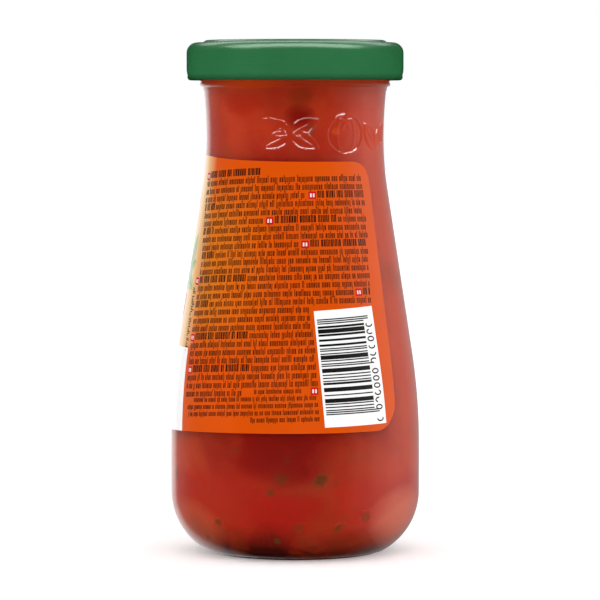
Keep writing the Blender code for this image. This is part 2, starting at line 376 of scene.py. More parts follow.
def add_patch(look, base, blur, degrees, height, half_wide, half_tall, strength, colour):
    """A soft patch of another colour round a place on the sauce's wall."""
    reach = half_wide * MM / (body_radius(height * MM) - WALL)

    def square(value, middle, half):
        share = look.math("DIVIDE", look.math("SUBTRACT", value, middle), half)
        return look.math("POWER", look.math("ABSOLUTE", share), 2.0)

    across = square(look.angle(), radians(degrees), reach)
    up = square(look.axis("Z"), height * MM, half_tall * MM)
    away = look.math("ADD", look.math("ADD", across, up), blur)
    return look.tint(base, colour, away, 0.2, 1.2, strength, 0.0)


def sauce_colour(look):
    """Cooked tomato, deep red in the middle of the shown side; paler round it towards the sides, low down and
    in the neck, which is painted light, and dark at the foot, which is painted shade.
    """
    patches = look.noise(34.0, 3.0, 0.55, 0.6)
    lumps = look.noise(130.0, 3.0, 0.6, 0.8, (1.0, 1.0, 1.5))
    brown = look.noise(52.0, 2.0, 0.5, 0.4, (0.8, 0.8, 1.3))
    blur = look.span(patches, 0.3, 0.7, -0.35, 0.35)
    # Painted side light: this mask grows away from the middle of the shown side, and the sauce turns paler
    # with it
    away = look.math("ADD", look.math("ABSOLUTE", look.angle()), blur)
    depth = look.math("ADD", look.axis("Z"), look.math("MULTIPLY", blur, 0.008))
    base = look.tint(SAUCE_DEEP, SAUCE_PAINTED_SIDE_LIGHT, away, 0.25, 1.0)
    # Paler low down and in the neck, dark at the foot: painted light and shade
    for colour, *limits in SAUCE_PAINTED_LIGHT_ZONES:
        base = look.tint(base, colour, depth, *limits)
    base = look.tint(base, SAUCE_BROWN, brown, 0.52, 0.72, 0.0, 0.55)
    base = look.tint(base, SAUCE_BRIGHT, lumps, 0.55, 0.78, 0.0, 0.4)
    # Patches of colour, with painted light and shade among them
    for patch in SAUCE_PATCHES_AND_PAINTED_LIGHT:
        base = add_patch(look, base, blur, *patch)
    return base, lumps


def make_wet(look, lumps):
    """Soft lumps, a dull shine and light that goes a little way in."""
    look.put("Specular IOR Level", WET_SPECULAR)
    look.put("Subsurface Weight", SOAK_WEIGHT)
    look.put("Subsurface Radius", SOAK_RADIUS)
    look.put("Subsurface Scale", 1.0)
    look.bump(lumps, 0.0004, 0.4)


def sauce_material():
    """Smooth cooked tomato with a fine grain."""
    look = new_look("tomato_sauce")
    base, lumps = sauce_colour(look)
    grain = look.span(look.noise(1500.0), 0.3, 0.7, 0.0, 0.2)
    look.put("Base Color", look.mix(grain, base, SAUCE_GRAIN, "SOFT_LIGHT"))
    look.put("Roughness", look.span(lumps, 0.3, 0.7, 0.45, 0.6))
    make_wet(look, lumps)
    return look.owner


HERB_DARK = (0.075, 0.045, 0.008)
HERB_LIGHT = (0.140, 0.050, 0.010)


def herb_material():
    """Herbs in the sauce: "cover" is 1 at a scrap's middle and 0 at its edge, where sauce hides it."""
    look = new_look("herb_bits")
    base, lumps = sauce_colour(look)
    veins = look.noise(1100.0)
    herb = look.tint(HERB_DARK, HERB_LIGHT, look.noise(150.0, 1.0), 0.4, 0.6)
    cover = look.tree.nodes.new("ShaderNodeAttribute")
    cover.attribute_name = "cover"
    worn = look.math("MULTIPLY", cover.outputs["Fac"], look.span(veins, 0.3, 0.6, 0.7, 1.1))
    look.put("Base Color", look.tint(base, herb, worn, 0.0, 1.0, 0.0, 0.9))
    look.put("Roughness", look.span(veins, 0.3, 0.7, 0.5, 0.7))
    make_wet(look, lumps)
    return look.owner


LID_GREEN = (0.017, 0.138, 0.043)
LID_PALE = (0.023, 0.158, 0.054)
LID_PAINTED_SHADE = (0.010, 0.060, 0.020)
LID_SPECULAR = 0.155


def lid_material():
    """Green lacquer on tinplate, with a slight orange peel, fine rubbing and painted shade along the lower
    edge.
    """
    look = new_look("green_lacquer")
    rub = look.noise(120.0, 4.0, 0.6, stretch=(1.0, 1.0, 6.0))
    base = look.tint(LID_GREEN, LID_PALE, look.noise(45.0), 0.3, 0.7)
    # Painted shade: the lacquer darkens towards the rolled lower edge
    base = look.tint(base, LID_PAINTED_SHADE, look.axis("Z"), CURL_HEIGHT - 0.6 * MM, CURL_HEIGHT + MM, 0.85, 0.0)
    look.put("Base Color", base)
    look.put("Roughness", look.span(rub, 0.35, 0.75, 0.26, 0.36))
    look.put("Specular IOR Level", LID_SPECULAR)
    look.bump(look.noise(900.0), 0.00002, 0.5)
    return look.owner


def paper_material(name, colour, shade=0.93, dress=None):
    """Glossy printed paper: a colour that varies a little, dressed by a function if given, and a grain."""
    look = new_look(name)
    cloud = look.noise(70.0, 3.0)
    grain = look.noise(1800.0)
    darker = tuple(part * shade for part in colour)
    base = look.tint(darker, colour, cloud, 0.3, 0.7)
    base = look.tint(base, darker, grain, 0.55, 0.8, 0.0, 0.12)
    look.put("Base Color", dress(look, base) if dress else base)
    look.put("Roughness", look.span(cloud, 0.3, 0.7, 0.07, 0.12))
    look.bump(grain, 0.00001, 0.4)
    return look.owner


# Jar

RELIEF_HEIGHT = 0.1274
RELIEF_LOW = 0.1202
RELIEF_HIGH = 0.1346
SPRIG_STARTS = (radians(-3.0), radians(177.0))
SPRIG_REACH = (radians(-24.0), radians(88.0))
SPRIG_COLUMNS = 264
PLAIN_COLUMNS = 80
LEAF_LENGTH = 0.0095
LEAF_HALF_WIDTH = 0.0023
SPRAY_TURNS = (28.0, 152.0, 206.0, 334.0)
PAIR_TURNS = (52.0, 128.0)
PAIR_DROP = 0.0042
TOMATO_PLACE = radians(37.0)
PAIR_PLACE = radians(65.5)
TOMATO_RADIUS = 0.0063
RIDGE = 0.00036
RELIEF_RISE = 0.00055
# How high each part of a leaf or a tomato stands, as a share of the relief's rise
LEAF_EDGE = 0.9
LEAF_FOLD = 0.3
LEAF_RIB = 0.6
TOMATO_DOME = 0.35
TOMATO_RIM = 0.8
TOMATO_LOBES = 0.22
CALYX = 0.5
# The tomato's calyx and squash, the glass's roundings, and its rows: the end and step of each stretch
TOMATO_SQUASH = 1.08
CALYX_RADIUS = 0.0015
CALYX_POINTS = 0.0013
CALYX_EDGE = 0.0004
OVER_BEAD_ROUNDING = 0.0006
UNDER_BEAD_ROUNDING = 0.0012
OUTER_STRETCHES = (
    (RELIEF_HIGH, 0.0012), (RELIEF_LOW, 0.0002), (CONE_HIGH, 0.0012),
    (CONE_LOW, 0.006), (BARREL_HIGH, 0.0028), (BARREL_LOW, 0.0145),
)
INNER_STRETCHES = ((CONE_HIGH, 0.003), (CONE_LOW, 0.01), (BARREL_HIGH, 0.004))
FOOT_EDGE = 0.0004
PUSH_UP_SHARES = (0.8, 0.5, 0.25, 0.0)
FLOOR_SHARES = (1.0, 0.75, 0.5, 0.25, 0.0)
SAUCE_SEGMENTS = 192
SAUCE_SWELL = 0.0003


def ridge(distance, width=RIDGE):
    """A soft line, 1 at its middle."""
    return np.exp(-(distance / width) ** 2)


def leaf_relief(across, up, turn):
    """Height of a leaf whose stalk is at 0, 0 and which points along its turn."""
    cosine, sine = cos(turn), sin(turn)
    along = across * cosine + up * sine
    side = -across * sine + up * cosine
    share = np.clip(along / LEAF_LENGTH, 0.0, 1.0)
    half = LEAF_HALF_WIDTH * np.sin(pi * share ** 0.8)
    inside = (along > 0) & (along < LEAF_LENGTH)
    edge = LEAF_EDGE * ridge(np.abs(side) - half)
    fold = LEAF_FOLD * ridge(np.abs(side) - half * 0.5, RIDGE * 0.6)
    rib = LEAF_RIB * ridge(side, RIDGE * 0.8)
    return np.where(inside, np.maximum(np.maximum(edge, rib), fold), 0.0)


def tomato_relief(across, up):
    """Height of a tomato with a ridge round it and a calyx at its top."""
    tall = up * TOMATO_SQUASH
    distance = np.hypot(across, tall)
    dome = TOMATO_DOME * np.sqrt(np.clip(1 - (distance / TOMATO_RADIUS) ** 2, 0, 1))
    rim = TOMATO_RIM * ridge(distance - TOMATO_RADIUS)
    lobes = TOMATO_LOBES * ridge((np.hypot(across * 2, tall) - TOMATO_RADIUS) / 2)
    lobes = lobes * (distance < TOMATO_RADIUS)
    top = up - TOMATO_RADIUS * 0.6
    star = CALYX_RADIUS + CALYX_POINTS * np.cos(5 * np.arctan2(top, across) - pi / 2)
    calyx = CALYX * np.clip((star - np.hypot(across, top)) / CALYX_EDGE, 0, 1)
    return np.maximum(dome + lobes, rim) + calyx


def relief(angles, radius, height):
    """Relief of the sprigs moulded into the neck, at one height, for all angles."""
    total = np.zeros(len(angles))
    up = height - RELIEF_HEIGHT
    for start in SPRIG_STARTS:
        spray, tomato, pair = (
            ((angles - start - place + pi) % (2 * pi) - pi) * radius
            for place in (0.0, TOMATO_PLACE, PAIR_PLACE)
        )
        shapes = [leaf_relief(spray, up, radians(turn)) for turn in SPRAY_TURNS]
        shapes += [leaf_relief(pair, up + PAIR_DROP, radians(turn)) for turn in PAIR_TURNS]
        for shape in (*shapes, tomato_relief(tomato, up)):
            total = np.maximum(total, shape)
    return total * RELIEF_RISE


def glass_angles():
    """Angles of the glass's columns, close together where the sprigs are."""
    angles = []
    for start in SPRIG_STARTS:
        first, last = start + SPRIG_REACH[0], start + SPRIG_REACH[1]
        angles += list(np.linspace(first, last, SPRIG_COLUMNS, endpoint=False))
        angles += list(np.linspace(last, first + pi, PLAIN_COLUMNS, endpoint=False))
    return np.array(angles)


def outer_line():
    """Outside of the glass from the rim down to the centre of the base."""
    points = arc((FINISH_RADIUS - RIM_ROUNDING, RIM_TOP - RIM_ROUNDING), RIM_ROUNDING, 90.0, 0.0, 4)
    points += arc((FINISH_RADIUS, THREAD_HEIGHT), THREAD_RADIUS - FINISH_RADIUS, 85.0, -85.0, 6)
    points += arc((FINISH_RADIUS + 0.0002, BEAD_HEIGHT + 0.0013), OVER_BEAD_ROUNDING, 140.0, 220.0, 3)
    points += arc((BEAD_RADIUS - BEAD_ROUNDING, BEAD_HEIGHT), BEAD_ROUNDING, 60.0, -60.0, 5)
    points += arc((body_radius(NECK_TOP) + 0.0014, NECK_TOP + 0.0006), UNDER_BEAD_ROUNDING, 130.0, 190.0, 3)
    points += [(body_radius(height), height) for height in stations(NECK_TOP, OUTER_STRETCHES)]
    points += arc((BARREL_RADIUS - HEEL_RADIUS, BARREL_LOW), HEEL_RADIUS, 0.0, -60.0, 16)[1:]
    points += arc((FOOT_RADIUS, FOOT_ROUNDING), FOOT_ROUNDING, -30.0, -90.0, 4)
    points += [(FOOT_INNER_RADIUS, 0.0), (FOOT_INNER_RADIUS - FOOT_EDGE, FOOT_EDGE)]
    for share in PUSH_UP_SHARES:
        points.append((FOOT_INNER_RADIUS * share, PUSH_UP * (1 - share ** 2) + FOOT_EDGE))
    return points


def floor_height(radius):
    """Height of the glass floor inside."""
    return FLOOR_HEIGHT + FLOOR_DOME * (1 - (radius / FLOOR_RADIUS) ** 2)


def inner_line(outwards):
    """Inside of the glass from the neck down to the centre of the floor, moved into the wall."""
    points = [(BORE_RADIUS + outwards, BEAD_HEIGHT)]
    for height in stations(NECK_TOP, INNER_STRETCHES):
        points.append((body_radius(height) - WALL + outwards, height))
    centre = (BARREL_RADIUS - HEEL_RADIUS, BARREL_LOW)
    points += arc(centre, HEEL_RADIUS - HEEL_WALL + outwards, 0.0, -58.0, 12)
    for share in FLOOR_SHARES:
        radius = FLOOR_RADIUS * share
        points.append((radius, floor_height(radius) - outwards))
    return points


def make_glass():
    """The jar itself, with its relief in the mesh."""
    outside = outer_line()
    rim = arc((BORE_RADIUS + RIM_ROUNDING, RIM_TOP - RIM_ROUNDING), RIM_ROUNDING, 180.0, 90.0, 4)
    profile = inner_line(0.0)[::-1] + rim + outside
    raised = {place for place in outside if RELIEF_LOW <= place[1] <= RELIEF_HIGH}

    def swell(angles, radius, height):
        return relief(angles, radius, height) if (radius, height) in raised else None

    jar = turned("jar", profile, glass_angles(), glass_material(), swell)
    jar.visible_shadow = False
    return finish_piece(jar, "glass", "jar_glass")


def make_sauce():
    """The sauce, which reaches just into the wall of the glass."""
    swell = (BORE_RADIUS * 0.6, SAUCE_LEVEL + SAUCE_SWELL)
    profile = [(0.0, SAUCE_LEVEL), swell, (BORE_RADIUS + INTO_WALL, SAUCE_LEVEL)] + inner_line(INTO_WALL)
    piece = turned("tomato_sauce", profile, even_angles(SAUCE_SEGMENTS), sauce_material())
    return finish_piece(piece, "sauce", "sauce")


# Herb scraps on the shown side: angle in degrees, height, length and width in mm, turn in degrees, and how
# far each shows through the sauce over it
SHOWN_BITS = (
    (-29.5, 34.0, 3.2, 2.6, 10.0, 0.35),
    (-3.8, 30.9, 3.4, 2.6, 60.0, 0.25),
    (-6.4, 25.3, 5.8, 5.0, 20.0, 0.5),
    (-11.8, 21.4, 3.6, 3.1, 45.0, 0.85),
    (12.2, 25.2, 7.8, 5.4, 40.0, 0.8),
    (19.6, 23.8, 2.9, 2.5, 80.0, 0.5),
    (-40.0, 12.0, 3.8, 3.1, 0.0, 0.85),
    (21.3, 10.8, 5.0, 2.6, 30.0, 1.0),
    (2.0, 11.0, 5.6, 4.2, 25.0, 0.5),
    (36.0, 13.7, 4.6, 4.0, 70.0, 0.7),
    (-52.0, 7.2, 3.0, 2.4, 15.0, 0.7),
    (-9.3, 7.1, 3.3, 2.9, 75.0, 0.85),
    (-74.0, 24.8, 4.6, 3.2, 85.0, 0.75),
    (10.8, 128.8, 5.2, 3.2, 75.0, 0.5),
)
HIDDEN_BITS = 60
HIDDEN_SIDE = (95.0, 262.0)
HIDDEN_LOW = (5.0, 38.0)
HIDDEN_HIGH = (40.0, 140.0)
HIDDEN_LENGTH = (2.4, 6.0)
HIDDEN_WIDTH = (0.5, 0.9)
HIDDEN_STRENGTH = (0.3, 1.0)
BIT_SIDES = 16
BIT_EDGE = (0.72, 1.12)
BIT_PROUD = 0.00006
BIT_DEPTH = -0.0003
SLOPE_STEP = 0.0002
# Rings of a scrap, from the middle of its face round its edge to the middle of its back:
# depth, reach and how far it shows through
BIT_RINGS = (
    (BIT_PROUD, 0.0, 1.0),
    (BIT_PROUD, 0.45, 0.85),
    (BIT_PROUD * 0.6, 0.75, 0.4),
    (-BIT_PROUD * 0.5, 1.0, 0.0),
    (-BIT_PROUD * 2.5, 1.2, 0.0),
    (BIT_DEPTH, 1.1, 0.0),
    (BIT_DEPTH, 0.0, 0.0),
)


def sauce_radius(height):
    """Radius of the sauce at a height on its wall."""
    wall = inner_line(INTO_WALL)[:-len(FLOOR_SHARES)][::-1]
    return float(np.interp(height, [up for _, up in wall], [radius for radius, _ in wall]))


def sauce_normal(angle, height):
    """Outward direction of the sauce's wall."""
    slope = (sauce_radius(height + SLOPE_STEP) - sauce_radius(height - SLOPE_STEP)) / (2 * SLOPE_STEP)
    return Vector((sin(angle), -cos(angle), -slope)).normalized()


def add_bit(points, faces, shares, angle, height, length, width, turn, strength):
    """One irregular scrap, flat against the sauce's wall, with how far it shows at each point."""
    outward = sauce_normal(angle, height)
    around = Vector((cos(angle), sin(angle), 0.0))
    upward = outward.cross(around)
    radius = sauce_radius(height)
    centre = Vector((radius * sin(angle), -radius * cos(angle), height))
    edge = [dice.uniform(*BIT_EDGE) for _ in range(BIT_SIDES)]
    first = len(points)
    for depth, reach, share in BIT_RINGS:
        for index in range(BIT_SIDES if reach else 1):
            spread = 2 * pi * index / BIT_SIDES
            across = length / 2 * cos(spread) * edge[index] * reach
            up = width / 2 * sin(spread) * edge[index] * reach
            move = around * (across * cos(turn) - up * sin(turn))
            move += upward * (across * sin(turn) + up * cos(turn))
            side = move.dot(around)
            points.append(centre + move + outward * (depth - side * side / (2 * radius)))
            shares.append(share * strength)
    rings = [[first]]
    for ring in range(len(BIT_RINGS) - 2):
        start = first + 1 + ring * BIT_SIDES
        rings.append(range(start, start + BIT_SIDES))
    rings.append([len(points) - 1])
    for inner, outer in zip(rings, rings[1:]):
        for index in range(BIT_SIDES):
            after = (index + 1) % BIT_SIDES
            corners = [inner[index % len(inner)], outer[index % len(outer)]]
            corners += [outer[after % len(outer)], inner[after % len(inner)]]
            faces.append(list(dict.fromkeys(corners)))


def make_herbs():
    """Scraps of herb in the sauce: those that are shown, and others round the rest of the jar."""
    points, faces, shares = [], [], []
    for degrees, height, length, width, turn, strength in SHOWN_BITS:
        place = (radians(degrees), height * MM, length * MM, width * MM, radians(turn))
        add_bit(points, faces, shares, *place, strength)
    for _ in range(HIDDEN_BITS):
        angle = radians(dice.uniform(*HIDDEN_SIDE))
        height = dice.choice((dice.uniform(*HIDDEN_LOW), dice.uniform(*HIDDEN_HIGH))) * MM
        length = dice.uniform(*HIDDEN_LENGTH) * MM
        width = length * dice.uniform(*HIDDEN_WIDTH)
        turn = dice.uniform(0.0, pi)
        add_bit(points, faces, shares, angle, height, length, width, turn, dice.uniform(*HIDDEN_STRENGTH))
    piece = make_object("herb_bits", points, faces, herb_material())
    cover = piece.data.attributes.new("cover", "FLOAT", "POINT")
    cover.data.foreach_set("value", shares)
    return finish_piece(piece, "sauce")


# Lid

LID_RADIUS = 0.0330
LID_SHEET = 0.0005
LID_SHOULDER_RADIUS = 0.0032
LID_SHOULDER_TOP = 0.1551
LID_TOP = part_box("lid")[1].z
LID_RECESS = 0.0005
LID_BUTTON_RADIUS = 0.0095
LID_BUTTON_RISE = 0.0003
LID_SKIRT_BOTTOM = 0.1470
CURL_RADIUS = 0.0010
CURL_CENTRE_RADIUS = 0.03175
SKIRT_TOP = 0.1495
SKIRT_TUCK = (0.0329, 0.1460)
BUTTON_STEP = 0.0009
RECESS_ENDS = (0.0243, 0.0254)
PANEL_ENDS = (0.0269, 0.0283)
LID_SEGMENTS = 240


def soft_step(start, stop, steps=6):
    """Points of an S-shaped step from one (radius, height) to another."""
    points = []
    for index in range(steps + 1):
        share = index / steps
        eased = share * share * (3 - 2 * share)
        points.append((start[0] + (stop[0] - start[0]) * share, start[1] + (stop[1] - start[1]) * eased))
    return points


def lid_top_line(depth):
    """Top of the lid from the centre to the shoulder, at a depth inside the sheet."""
    top = LID_TOP - depth
    recess = top - LID_RECESS
    button = recess + LID_BUTTON_RISE
    points = [(0.0, button), (LID_BUTTON_RADIUS * 0.5, button)]
    points += soft_step((LID_BUTTON_RADIUS, button), (LID_BUTTON_RADIUS + BUTTON_STEP, recess))
    points += soft_step((RECESS_ENDS[0], recess), (RECESS_ENDS[1], top))
    panel_end = (PANEL_ENDS[1] - depth, LID_SHOULDER_TOP - depth)
    return points + soft_step((PANEL_ENDS[0] - depth, top), panel_end)


def make_lid():
    """The twist-off lid with its rolled lower edge."""
    shoulder = (LID_RADIUS - LID_SHOULDER_RADIUS, LID_SHOULDER_TOP - LID_SHOULDER_RADIUS)
    profile = lid_top_line(0.0) + arc(shoulder, LID_SHOULDER_RADIUS, 90.0, 0.0, 14)
    profile += [(LID_RADIUS, SKIRT_TOP), (LID_RADIUS, LID_SKIRT_BOTTOM), SKIRT_TUCK]
    profile += arc((CURL_CENTRE_RADIUS, CURL_HEIGHT), CURL_RADIUS, 25.0, -200.0, 20)
    profile += [(LID_RADIUS - LID_SHEET, CURL_HEIGHT + 2 * CURL_RADIUS)]
    profile += arc(shoulder, LID_SHOULDER_RADIUS - LID_SHEET, 0.0, 90.0, 10)
    profile += lid_top_line(LID_SHEET)[::-1]
    piece = turned("lid_cap", profile, even_angles(LID_SEGMENTS), lid_material())
    return finish_piece(piece, "lid", "lid")


# Label

PAPER_INSIDE = 0.03 * MM
PAPER_FACE = 0.13 * MM
INK_STEP = 0.02 * MM
LABEL_ROWS = 60
CORNER_COLUMNS = 14
COLUMN_TURN = radians(1.5)
SHARP_EDGE = radians(40.0)
ORANGE = (0.725, 0.085, 0.001)
ORANGE_GLOW = (0.70, 0.205, 0.008)
PEACH = (0.84, 0.49, 0.20)
INK = (0.020, 0.008, 0.004)
INK_SHADE = 0.8
BAND_TOP = 0.0631
FRONT_LEFT = radians(-131.0)
FRONT_CENTRE = radians(-100.0)
GLOW_FAR = radians(-58.0)
GLOW_NEAR = radians(-8.0)
# Where the peach by the front panel's edge fades in, partly print and partly a painted reflection
PEACH_SHEEN_NEAR = radians(-59.0)
PEACH_SHEEN_FAR = radians(-69.0)


class Prints:
    """Thin closed shapes on the label, gathered into one mesh; its rows of words run level at the centre."""

    def __init__(self, level, centre=0.0):
        self.centre = centre
        self.points = []
        self.faces = []
        self.under = PAPER_FACE - INK_STEP
        self.top = PAPER_FACE + level * INK_STEP

    def slab(self, places, faces, edge):
        """A closed slab over (angle, height) places, from its faces and its edge, both anticlockwise."""
        under = len(self.points)
        top = under + len(places)
        for proud in (self.under, self.top):
            self.points.extend(wall_point(angle, height, proud) for angle, height in places)
        for face in faces:
            self.faces.append([top + spot for spot in face])
            self.faces.append([under + spot for spot in face[::-1]])
        for spot, after in zip(edge, edge[1:] + edge[:1]):
            self.faces.append([under + spot, under + after, top + after, top + spot])

    def sheet(self, places, rows, columns=2):
        """A slab over a grid of places, rows by columns."""
        grid = [range(row * columns, (row + 1) * columns) for row in range(rows)]
        faces = []
        for low, high in zip(grid, grid[1:]):
            faces += [[low[spot], low[spot + 1], high[spot + 1], high[spot]] for spot in range(columns - 1)]
        right = [row[-1] for row in grid[1:-1]]
        left = [row[0] for row in grid[-2:0:-1]]
        self.slab(places, faces, [*grid[0], *right, *grid[-1][::-1], *left])

    def box(self, left, right, low, high):
        """A small sheet between two angles and two heights."""
        self.sheet([(left, low), (right, low), (left, high), (right, high)], 2)

    def fan(self, centre, outline, rings=1):
        """A slab from its centre out to an outline of places, anticlockwise."""
        count = len(outline)
        places = [centre]
        for ring in range(1, rings + 1):
            places += [between(centre, place, ring / rings) for place in outline]
        circles = [[1 + ring * count + spot % count for spot in range(count + 1)] for ring in range(rings)]
        faces = [[0, circles[0][spot], circles[0][spot + 1]] for spot in range(count)]
        for inner, outer in zip(circles, circles[1:]):
            faces += [[inner[spot], outer[spot], outer[spot + 1], inner[spot + 1]] for spot in range(count)]
        self.slab(places, faces, circles[-1][:-1])

    def piece(self, name, *paper):
        """The gathered shapes as one piece of the label, on a paper material."""
        made = make_object(name, self.points, self.faces, paper_material(*paper), smooth=False)
        return finish_piece(made, "label")


def corner_cut(distance, radius):
    """How far a rounded corner eats into an edge at a distance from the label's end."""
    if distance >= radius:
        return 0.0
    return radius - sqrt(max(radius ** 2 - (radius - distance) ** 2, 0.0))


def label_span(angle):
    """Lowest and highest point of the label at an angle round the jar."""
    away = min(angle - LABEL_START, LABEL_END - angle)
    swell = exp(-((angle - LABEL_RISE_CENTRE) / LABEL_RISE_SPREAD) ** 2)
    top = LABEL_TOP + LABEL_RISE * swell
    low = LABEL_BOTTOM - LABEL_DIP * swell
    low += corner_cut(away * body_radius(LABEL_BOTTOM), LABEL_BOTTOM_CORNER)
    return low, top - corner_cut(away * body_radius(LABEL_TOP), LABEL_TOP_CORNER)


def label_angles():
    """Angles of the label's columns, closer together in its rounded corners."""
    corner = LABEL_BOTTOM_CORNER / body_radius(LABEL_BOTTOM)
    ramp = [corner * (1 - cos(pi / 2 * step / CORNER_COLUMNS)) for step in range(CORNER_COLUMNS)]
    middle = spaced(LABEL_START + corner, LABEL_END - corner, COLUMN_TURN)
    return [LABEL_START + angle for angle in ramp] + middle + [LABEL_END - angle for angle in ramp[::-1]]


def front_light(look, base):
    """A warmer glow in the orange beside the front panel, and peach under that panel's edge, partly print and
    partly a painted reflection.
    """
    angle, height = look.angle(), look.axis("Z")
    on_front = look.span(angle, FRONT_LEFT, FRONT_CENTRE)

    def blend(colour, share, *limits):
        for limit in (*limits, on_front):
            share = look.math("MULTIPLY", share, limit)
        return look.mix(share, base, colour)

    glow = look.span(angle, GLOW_FAR, GLOW_NEAR, 0.8, 0.0)
    upper = look.span(height, 0.102, 0.118, 1.0, 0.0)
    base = blend(ORANGE_GLOW, glow, look.span(height, 0.060, 0.076), upper)
    # Peach spreading from the front panel's edge: partly print, partly a painted reflection
    fade = look.span(angle, PEACH_SHEEN_NEAR, PEACH_SHEEN_FAR, 0.0, 0.85)
    return blend(PEACH, fade, look.span(height, BAND_TOP, BAND_TOP + MM))


def make_label():
    """The orange paper, closed round its edge."""
    paper = Prints(0)
    paper.under, paper.top = PAPER_INSIDE, PAPER_FACE
    spans = [(angle, *label_span(angle)) for angle in label_angles()]
    places = []
    for row in range(LABEL_ROWS):
        share = row / (LABEL_ROWS - 1)
        places += [(angle, low + (high - low) * share) for angle, low, high in spans]
    paper.sheet(places, LABEL_ROWS, len(spans))
    material = paper_material("orange_print", ORANGE, dress=front_light)
    piece = make_object("label_paper", paper.points, paper.faces, material)
    piece.data.set_sharp_from_angle(angle=SHARP_EDGE)
    return finish_piece(piece, "label", "label")


# Small print. Rows tilt and droop by angles in radians; other angles are in degrees and lengths in mm

TILT = 0.024
DROOP = 0.0275
TEXT_TOP = 114.1
ROW_STEP = 2.412
FULL_ROWS = 16
SHORT_ROWS = 11
FULL_LEFT = -71.0
FULL_RIGHT = 47.6
SHORT_LEFT = -63.2
SHORT_RIGHT = 8.2
LAST_RIGHT = -25.0
TITLE_RIGHT = -22.0
# Ends of the rows of smaller print
SMALL_ENDS = ((-19.0, 5.0), (-54.0, 10.0), (-59.0, 10.8), (-58.0, 11.3), (-20.5, 11.3))
SMALL_STEP = 2.1
SMALL_TOP = 51.6
SMALL_DROP = 0.5
SMALL_SCALE = 0.8
# Ticks in two columns up the label's edge
MARGIN_STARTS = (-69.6, -78.5)
MARGIN_ROWS = 38
MARGIN_LOW = 64.5
MARGIN_STEP = 0.5
MARGIN_TICK = 0.3
MARGIN_LEFTS = (0.0, 0.0, 0.35, 0.7)
MARGIN_WIDTHS = (1.0, 1.6, 2.1, 2.1)
MARGIN_GAPS = 0.08
LETTER_HEIGHT = 1.47
ASCENDER = 1.42
DESCENDER = 0.36
STROKE = 0.19
BOLD_STROKE = 0.27
BOLD_WIDTH = 1.25
BRIDGE = 0.8
LETTER_GAP = 0.21
WORD_GAP = 0.5
WORD_ROOM = 1.2
LETTER_ROOM = 0.6
LETTER_WIDTHS = (0.42, 0.58)
WORD_LENGTHS = (2, 3, 4, 5, 6, 7, 8, 9)
# Kinds of letter from 0 to 1: single strokes, mostly tall, then arches, cups, boxes and strokes with a foot
TALL_BELOW = 0.22
SINGLE_BELOW = 0.25
ARCH_BELOW = 0.6
BOX_ABOVE = 0.72
FOOT_ABOVE = 0.88
SINGLE_ABOVE = 0.9
# Red tags in the text: row, counted from the top of the text, and angle
TAGS = ((-1, -69.5), (2, 10.4), (5, -14.7), (8, 5.6), (12, -64.9), (14, 35.3), (19, -61.4), (23, -59.8))
SMALL_TAG = 9.0
TAG_HALF = 1.15
TAG_ROOM = 1.6
TAG_SQUASH = 0.95
TAG_CORNER = 0.35
MARK_OFFSET = 0.42
MARK_HALF_WIDTH = 0.24
MARK_HALF_HEIGHT = 0.55
BOLD_START = (3, 6, 9, 15)
BOLD_START_WIDTH = 13.0
BOLD_AFTER_TAG = 36.0


def on_row(angle, height):
    """Height of a line of print at an angle from its panel's middle, from its height at that middle."""
    return height + body_radius(height) * (TILT * angle - DROOP * angle * angle)


def add_box(prints, left, right, low, high):
    """A small upright box of print between two angles and two heights at the panel's middle."""
    rise = on_row((left + right) / 2 - prints.centre, low) - low
    prints.box(left, right, low + rise, high + rise)


def add_letter(prints, angle, height, scale, bold):
    """One letter's worth of plain strokes, which stand for no letter; returns the angle after it."""
    radius = body_radius(height)
    stroke = (BOLD_STROKE if bold else STROKE) * scale * MM
    tall = LETTER_HEIGHT * scale * MM * (ASCENDER if bold else 1.0)
    bridge = stroke * BRIDGE
    kind = dice.random()
    top = tall * (ASCENDER if kind < TALL_BELOW and not bold else 1.0)
    foot = -tall * (DESCENDER if kind > FOOT_ABOVE and not bold else 0.0)
    turn = stroke / radius
    add_box(prints, angle, angle + turn, height + foot, height + top)
    if not SINGLE_BELOW < kind < SINGLE_ABOVE:
        return angle + turn
    right = angle + dice.uniform(*LETTER_WIDTHS) * scale * MM * (BOLD_WIDTH if bold else 1.0) / radius
    add_box(prints, right - turn, right, height, height + tall)
    level = height + (tall - bridge if kind < ARCH_BELOW else 0.0)
    add_box(prints, angle + turn, right - turn, level, level + bridge)
    if kind > BOX_ABOVE:
        add_box(prints, angle + turn, right - turn, height + tall - bridge, height + tall)
    return right


def add_words(prints, left, right, height, scale=1.0, bold=False):
    """Words of plain strokes set full between two angles; returns the angle after the last."""
    radius = body_radius(height)
    angle = left
    while right - angle > WORD_ROOM * scale * MM / radius:
        for _ in range(dice.choice(WORD_LENGTHS)):
            angle = add_letter(prints, angle, height, scale, bold) + LETTER_GAP * scale * MM / radius
            if right - angle < LETTER_ROOM * scale * MM / radius:
                return angle
        angle += WORD_GAP * scale * MM / radius
    return angle


def add_row(prints, left, right, height, scale=1.0, bold=False):
    """Words between two angles in degrees; returns the angle after the last, also in degrees."""
    return in_degrees(add_words(prints, radians(left), radians(right), height, scale, bold))


def text_ends(row):
    """Left and right ends of a row of the small print."""
    if row < FULL_ROWS:
        share = row / (FULL_ROWS - 1)
        return FULL_LEFT + 8.0 * min(share * 1.6, 1.0), FULL_RIGHT - 3.6 * share
    after = row - FULL_ROWS
    return SHORT_LEFT + 0.2 * after, LAST_RIGHT if after == SHORT_ROWS - 1 else SHORT_RIGHT + 0.35 * after


